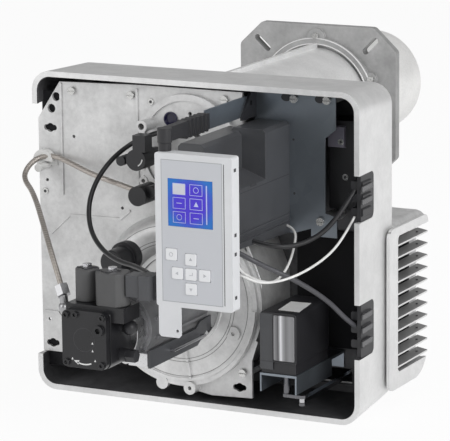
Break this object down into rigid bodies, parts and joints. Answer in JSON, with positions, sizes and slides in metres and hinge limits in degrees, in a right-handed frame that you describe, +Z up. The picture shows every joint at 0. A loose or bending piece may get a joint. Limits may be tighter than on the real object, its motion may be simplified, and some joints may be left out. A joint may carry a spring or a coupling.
{
  "type": "industrial gas burner",
  "caption": "Forced-draught boiler burner, cover removed: fan motor, oil pump with solenoid valves, control box, swing-out display, louvred air intake and flanged blast tube.",
  "frame": {"origin": "on the blast tube's axis, at the boiler-side face of the flange gasket", "axes": "+Y along the blast tube into the boiler, +Z up, the service side faces -Y"},
  "size_m": [0.447, 0.8, 0.417],
  "materials": {
    "cast_alu": "sand-cast aluminium, lightly blasted",
    "machined_alu": "machined aluminium",
    "zinc_sheet": "galvanised steel sheet with a blue passivation",
    "steel": "zinc-plated steel",
    "heat_steel": "heat-resisting steel tube",
    "chrome": "bright plated metal",
    "black_plastic": "black moulded plastic",
    "grey_plastic": "dark grey moulded plastic",
    "mid_plastic": "grey moulded plastic",
    "pump_black": "black lacquered cast iron",
    "cable_black": "black cable jacket",
    "cable_grey": "grey cable jacket",
    "cable_white": "white silicone lead",
    "braid": "stainless wire braid",
    "foam": "black acoustic foam",
    "gasket": "fibre gasket",
    "display_white": "white powder coat",
    "key_white": "white key cap",
    "screen_blue": "lit blue display",
    "sight_dark": "dark sight glass",
    "white_plastic": "white moulded plastic"
  },
  "bodies": {
    "burner": {"casing": "cast_alu", "base_plate": "cast_alu", "volute_cover": "cast_alu", "scroll_housing": "cast_alu", "neck": "cast_alu", "head_cover": "cast_alu", "sight_glass": "sight_dark", "nozzle_rod": "steel", "diffuser_disc": "heat_steel", "ignition_electrodes": "steel", "boiler_flange": "cast_alu", "flange_gasket": "gasket", "blast_tube": "heat_steel", "intake_housing": "cast_alu", "intake_grille": "cast_alu", "intake_foam": "foam", "servo_body": "black_plastic", "servo_window": "chrome", "servo_bracket": "zinc_sheet", "motor_body": "machined_alu", "motor_capacitor": "black_plastic", "pump_adapter": "machined_alu", "pump_body": "pump_black", "pump_cover": "pump_black", "pump_plugs": "pump_black", "coil_left": "mid_plastic", "coil_right": "mid_plastic", "coil_nuts": "chrome", "coil_plug": "black_plastic", "hose_fitting": "chrome", "hose_saddle": "white_plastic", "nozzle_elbow": "black_plastic", "flame_sensor": "black_plastic", "control_box": "grey_plastic", "mounting_bracket": "zinc_sheet", "display_hinge": "black_plastic", "support_arm": "grey_plastic", "terminal_module": "black_plastic", "cable_glands": "black_plastic", "sensor_cable": "cable_black", "black_cable": "cable_black", "grey_cable": "cable_grey", "white_lead": "cable_white", "oil_hose": "braid", "screws": "steel"},
    "rotor": {"motor_shaft": "steel", "fan_wheel": "zinc_sheet"},
    "servo_drive": {"servo_shaft": "steel"},
    "damper": {"air_damper": "zinc_sheet"},
    "link": {"damper_link": "chrome"},
    "display": {"display_frame": "display_white", "display_screen": "screen_blue"},
    "armature_one": {"armature_left": "steel"},
    "armature_two": {"armature_right": "steel"},
    "button_info": {"key_info": "key_white"},
    "button_up": {"key_up": "key_white"},
    "button_left": {"key_left": "key_white"},
    "button_enter": {"key_enter": "key_white"},
    "button_right": {"key_right": "key_white"},
    "button_down": {"key_down": "key_white"}
  },
  "joints": [
    {"name": "fan_spin", "type": "hinge", "parent": "burner", "child": "rotor", "pos_m": [-0.01, -0.372, -0.187], "axis": [0, 1, 0], "continuous": true},
    {"name": "servo_turn", "type": "hinge", "parent": "burner", "child": "servo_drive", "pos_m": [0.15, -0.424, -0.257], "axis": [0, 0, -1], "range_deg": [0, 90]},
    {"name": "damper_turn", "type": "hinge", "parent": "burner", "child": "damper", "pos_m": [0.15, -0.2535, -0.177], "axis": [0, 0, -1], "range_deg": [0, 90]},
    {"name": "link_turn", "type": "hinge", "parent": "servo_drive", "child": "link", "pos_m": [0.17, -0.424, -0.286], "axis": [0, 0, 1], "range_deg": [0, 90]},
    {"name": "display_swing", "type": "hinge", "parent": "burner", "child": "display", "pos_m": [0.084, -0.6, 0.051], "axis": [0, 0, -1], "range_deg": [0, 80]},
    {"name": "press_info", "type": "slide", "parent": "display", "child": "button_info", "axis": [0, 1, 0], "range_m": [0, 0.0005], "stiffness_N_per_m": 400, "springref_m": -0.001},
    {"name": "press_up", "type": "slide", "parent": "display", "child": "button_up", "axis": [0, 1, 0], "range_m": [0, 0.0005], "stiffness_N_per_m": 400, "springref_m": -0.001},
    {"name": "press_left", "type": "slide", "parent": "display", "child": "button_left", "axis": [0, 1, 0], "range_m": [0, 0.0005], "stiffness_N_per_m": 400, "springref_m": -0.001},
    {"name": "press_enter", "type": "slide", "parent": "display", "child": "button_enter", "axis": [0, 1, 0], "range_m": [0, 0.0005], "stiffness_N_per_m": 400, "springref_m": -0.001},
    {"name": "press_right", "type": "slide", "parent": "display", "child": "button_right", "axis": [0, 1, 0], "range_m": [0, 0.0005], "stiffness_N_per_m": 400, "springref_m": -0.001},
    {"name": "press_down", "type": "slide", "parent": "display", "child": "button_down", "axis": [0, 1, 0], "range_m": [0, 0.0005], "stiffness_N_per_m": 400, "springref_m": -0.001},
    {"name": "lift_one", "type": "slide", "parent": "burner", "child": "armature_one", "axis": [0, 0, 1], "range_m": [0, 0.003], "stiffness_N_per_m": 300, "springref_m": -0.002},
    {"name": "lift_two", "type": "slide", "parent": "burner", "child": "armature_two", "axis": [0, 0, 1], "range_m": [0, 0.003], "stiffness_N_per_m": 300, "springref_m": -0.002}
  ],
  "couplings": [
    {"joint": "damper_turn", "follows": "servo_turn", "ratio": 1},
    {"joint": "link_turn", "follows": "servo_turn", "ratio": 1}
  ]
}
